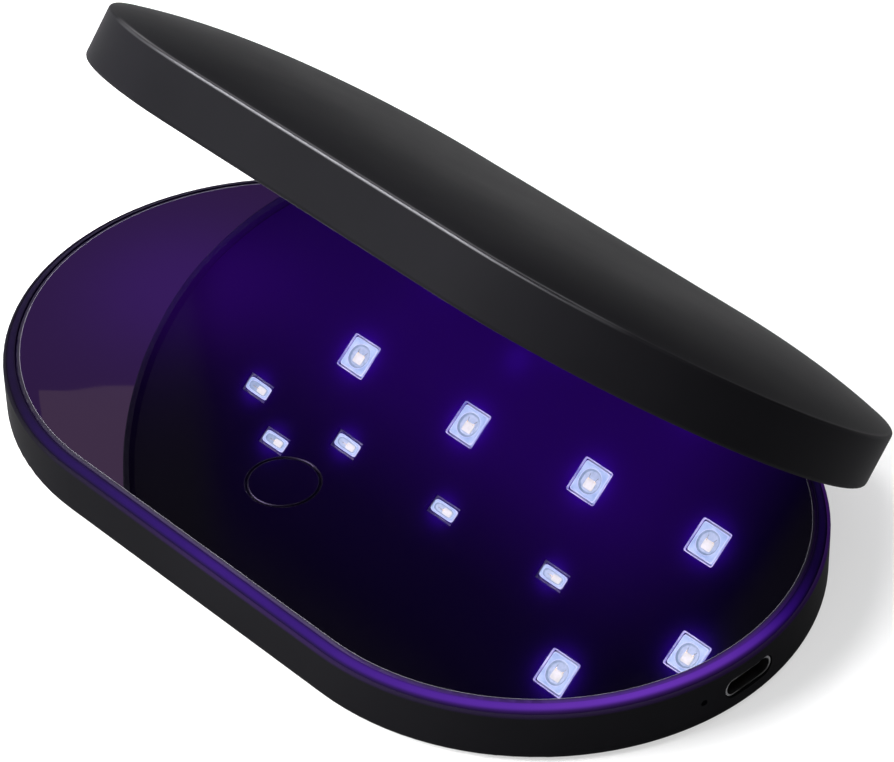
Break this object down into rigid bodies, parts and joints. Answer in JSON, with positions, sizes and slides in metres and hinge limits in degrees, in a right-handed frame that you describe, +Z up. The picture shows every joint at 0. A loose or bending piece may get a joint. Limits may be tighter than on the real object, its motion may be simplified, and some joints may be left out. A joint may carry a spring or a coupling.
{
  "type": "uv led nail lamp",
  "caption": "Flat stadium-shaped clamshell nail lamp: glossy hand plate with a lit violet edge and round button, hinged crowned lid with LEDs beneath, end charging port.",
  "frame": {"origin": "centre of the anti-slip pad's underside, where the lamp rests on a table", "axes": "+X along the long side towards the charging port, +Y towards the hinge, +Z up"},
  "size_m": [0.139, 0.0922, 0.0653],
  "materials": {
    "shell_black": "fine satin moulded black",
    "plate_gloss": "polished near-black panel",
    "button_gloss": "polished near-black button",
    "glow_violet": "frosted light guide, lit violet",
    "silicone": "matte silicone",
    "carrier_plastic": "plain moulded",
    "steel": "plated steel",
    "circuit_board": "solder mask",
    "led_board_metal": "metal core board with white mask",
    "electronic_parts": "moulded epoxy",
    "battery_foil": "pouch foil",
    "tape": "double-sided tape",
    "lead_red": "insulated wire",
    "lead_black": "insulated wire",
    "led_body": "white moulded package",
    "led_lens": "clear gel over lit chips"
  },
  "bodies": {
    "base": {"anti_slip_pad": "silicone", "base_shell": "shell_black", "light_ring": "glow_violet", "base_plate": "plate_gloss", "plate_carrier": "carrier_plastic", "carrier_screws": "steel", "glow_strip": "circuit_board", "glow_leds": "led_body", "battery_tape": "tape", "battery_cell": "battery_foil", "battery_guard_board": "circuit_board", "battery_lead_red": "lead_red", "battery_lead_black": "lead_black", "main_board": "circuit_board", "main_board_screws": "steel", "board_chips": "electronic_parts", "board_inductor": "electronic_parts", "board_capacitors": "electronic_parts", "board_connectors": "carrier_plastic", "port_socket": "steel", "port_tongue": "carrier_plastic", "status_light_pipe": "led_lens", "status_led": "led_body", "switch_board": "circuit_board", "switch_board_screws": "steel", "switch_body": "carrier_plastic", "hinge_bracket_left": "steel", "hinge_bracket_right": "steel", "hinge_pin_left": "steel", "hinge_pin_right": "steel", "hinge_washers": "steel", "hinge_bracket_screws": "steel", "lamp_lead_base": "lead_black"},
    "lid": {"lid_shell": "shell_black", "led_panel": "plate_gloss", "led_board": "led_board_metal", "led_board_screws": "steel", "large_led_bodies": "led_body", "large_led_lenses": "led_lens", "small_led_bodies": "led_body", "small_led_lenses": "led_lens", "led_resistors": "electronic_parts", "lid_connector": "carrier_plastic", "hinge_arm_left": "steel", "hinge_arm_right": "steel", "hinge_arm_screws": "steel", "lamp_lead_lid": "lead_black"},
    "button": {"power_button": "button_gloss", "switch_plunger": "carrier_plastic"}
  },
  "joints": [
    {"name": "lid_hinge", "type": "hinge", "parent": "base", "child": "lid", "pos_m": [0, 0.037, 0.0033], "axis": [-1, 0, 0], "range_deg": [-40, 0]},
    {"name": "button_press", "type": "slide", "parent": "base", "child": "button", "axis": [0, 0, -1], "range_m": [0, 0.0004], "stiffness_N_per_m": 1500}
  ]
}
